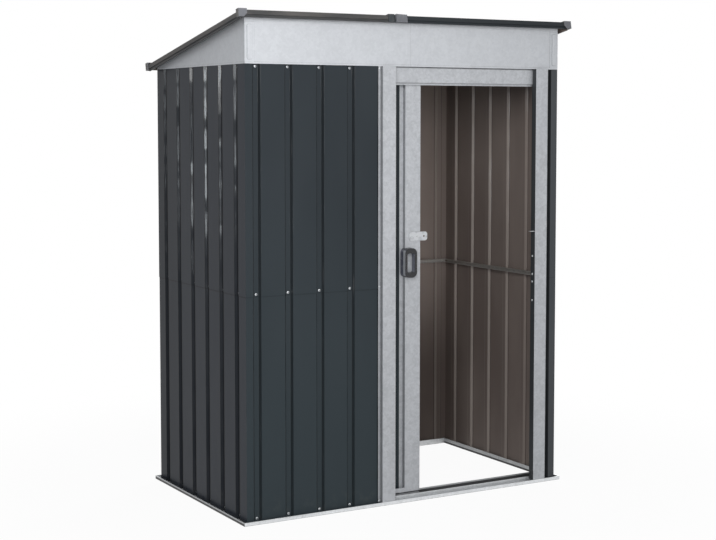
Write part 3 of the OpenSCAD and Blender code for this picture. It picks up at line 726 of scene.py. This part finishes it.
# Screws through the posts' side flanges, the jamb's bolts about the seam, and the hasp's two
FLANGE_MIDDLE = 0.0055
FLANGE_FACE = 0.0014
post_flanges = (
    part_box("door_post_left")[0].x + FLANGE_MIDDLE,
    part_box("door_post_right")[1].x - FLANGE_MIDDLE,
)
screw_rows(
    "post_flange_screws", "shed",
    [Vector((x, front_low.y - FLANGE_FACE, z)) for x in post_flanges for z in screw_heights],
    FRONT, SMALL_SCREW,
)
JAMB_BOLTS = (0.744, 0.820, 0.850, 0.923)
screw_rows(
    "jamb_bolts", "shed", [Vector((strip_low.x, front_low.y, z)) for z in JAMB_BOLTS], LEFT, SMALL_SCREW,
)
HASP_SCREWS = (0.011, 0.034)
hasp_mid_z = (hasp_low.z + hasp_high.z) / 2
screw_rows(
    "hasp_screws", "door",
    [Vector((hasp_low.x + dx, hasp_low.y, hasp_mid_z)) for dx in HASP_SCREWS], FRONT, SMALL_SCREW,
)

# Roof screws on the rib crests, along both edges and over the beam
ROOF_SCREW_INSET = 0.05
roof_length = (roof_high.y - roof_low.y) / math.cos(ROOF_PITCH)
roof_rows = (ROOF_SCREW_INSET, roof_length / 2, roof_length - ROOF_SCREW_INSET)
screw_rows(
    "roof_screws", "shed",
    [roof_front + roof_down * s + Vector((x, 0, 0)) for x in long_ribs for s in roof_rows], roof_out,
)


# Stage: pale floor, soft light, camera

WHITE = (1.0, 1.0, 1.0, 1.0)
FLOOR_GREY = (0.86, 0.86, 0.86, 1.0)
SKY_FILL = (0.96, 0.98, 1.0, 1.0)
COOL_LAMP = (0.88, 0.95, 1.0)
FLOOR_HALF = 60.0
# The floor lies just under the shed
FLOOR_H = -0.0005


def seen(f):
    """1 for what the camera sees, straight or in metal and glass, and 0 for what lights the shed."""
    path = f.node("LightPath")
    return (path["Is Camera Ray"] + path["Is Glossy Ray"] + path["Is Transmission Ray"]) > 0.5


def stage_floor():
    bm = bmesh.new()
    bmesh.ops.create_grid(bm, x_segments=1, y_segments=1, size=FLOOR_HALF)
    mesh = bpy.data.meshes.new("floor")
    bm.to_mesh(mesh)
    bm.free()
    floor = bpy.data.objects.new("floor", mesh)
    floor.location.z = FLOOR_H
    scene.collection.objects.link(floor)
    material, f = finish("floor_pale")
    away = f.node("VectorMath", {"operation": "LENGTH"}, {0: f.place()})["Value"]
    # The floor keeps the shed's shadow close by, and fades to plain white further out
    white = seen(f) * (0.95 + away.smooth(1.0, 2.4) * 0.05)
    pale = f.node("BsdfDiffuse", None, {"Color": FLOOR_GREY})["BSDF"]
    glow = f.node("Emission", None, {"Color": WHITE, "Strength": 1.0})["Emission"]
    f.shown(f.blend(white, pale, glow))
    mesh.materials.append(material)


def stage_world():
    world = bpy.data.worlds.new("studio")
    scene.world = world
    world.use_nodes = True
    f = Shading(world.node_tree, "OutputWorld")
    fill = f.node("Background", None, {"Color": SKY_FILL, "Strength": 0.36})["Background"]
    white = f.node("Background", None, {"Color": WHITE, "Strength": 1.0})["Background"]
    f.shown(f.blend(seen(f), fill, white))


def softbox(name, place, aim, width, height, power, spread=180.0, colour=WHITE[:3]):
    lamp = bpy.data.lights.new(name, "AREA")
    lamp.color = colour
    lamp.spread = math.radians(spread)
    lamp.shape = "RECTANGLE"
    lamp.size = width
    lamp.size_y = height
    lamp.energy = power
    box = bpy.data.objects.new(name, lamp)
    box.location = place
    box.rotation_mode = "QUATERNION"
    box.rotation_quaternion = (Vector(aim) - Vector(place)).to_track_quat("-Z", "Y")
    box.visible_camera = False
    scene.collection.objects.link(box)


# The photograph's width and the lens's focal length, in pixels
PHOTO_WIDTH = 716.0
FOCAL_LENGTH = 1491.24
SENSOR_WIDTH = 36.0
LENS_SHIFT = -0.07
# The camera's place from the foot of the front left wall corner, and where it looks
CAMERA_FROM_CORNER = Vector((-2.3201, -4.8116, 1.4767))
CAMERA_YAW = math.radians(30.073)
CAMERA_PITCH = math.radians(-3.923)


def photo_camera():
    """The photograph's viewpoint, fitted to the shed's own edges with a small lens shift."""
    lens = bpy.data.cameras.new("photo_camera")
    lens.sensor_width = SENSOR_WIDTH
    lens.lens = FOCAL_LENGTH * SENSOR_WIDTH / PHOTO_WIDTH
    lens.shift_y = LENS_SHIFT
    camera = bpy.data.objects.new("photo_camera", lens)
    camera.location = Vector((wall_low.x, front_low.y, 0.0)) + CAMERA_FROM_CORNER
    level = math.cos(CAMERA_PITCH)
    look = Vector((math.sin(CAMERA_YAW) * level, math.cos(CAMERA_YAW) * level, math.sin(CAMERA_PITCH)))
    camera.rotation_mode = "QUATERNION"
    camera.rotation_quaternion = look.to_track_quat("-Z", "Y")
    scene.collection.objects.link(camera)
    scene.camera = camera


stage_floor()
stage_world()
softbox("key", (-1.5, -2.5, 2.2), (-0.2, -0.3, 1.15), width=1.2, height=1.2, power=40.5)
softbox(
    "streak_strip", (-4.7, -5.1, 1.3), (-0.7, 0.0, 1.3), width=0.8, height=1.9, power=52.0, colour=COOL_LAMP,
)
softbox("room_fill", (0.48, -0.3, 1.1), (0.5, 0.4, 1.1), width=0.12, height=1.0, power=0.38, spread=50.0)
softbox("rear", (2.5, 2.4, 2.3), (0.3, 0.2, 1.0), width=1.2, height=1.2, power=46.0)
photo_camera()
scene.view_settings.view_transform = "Standard"
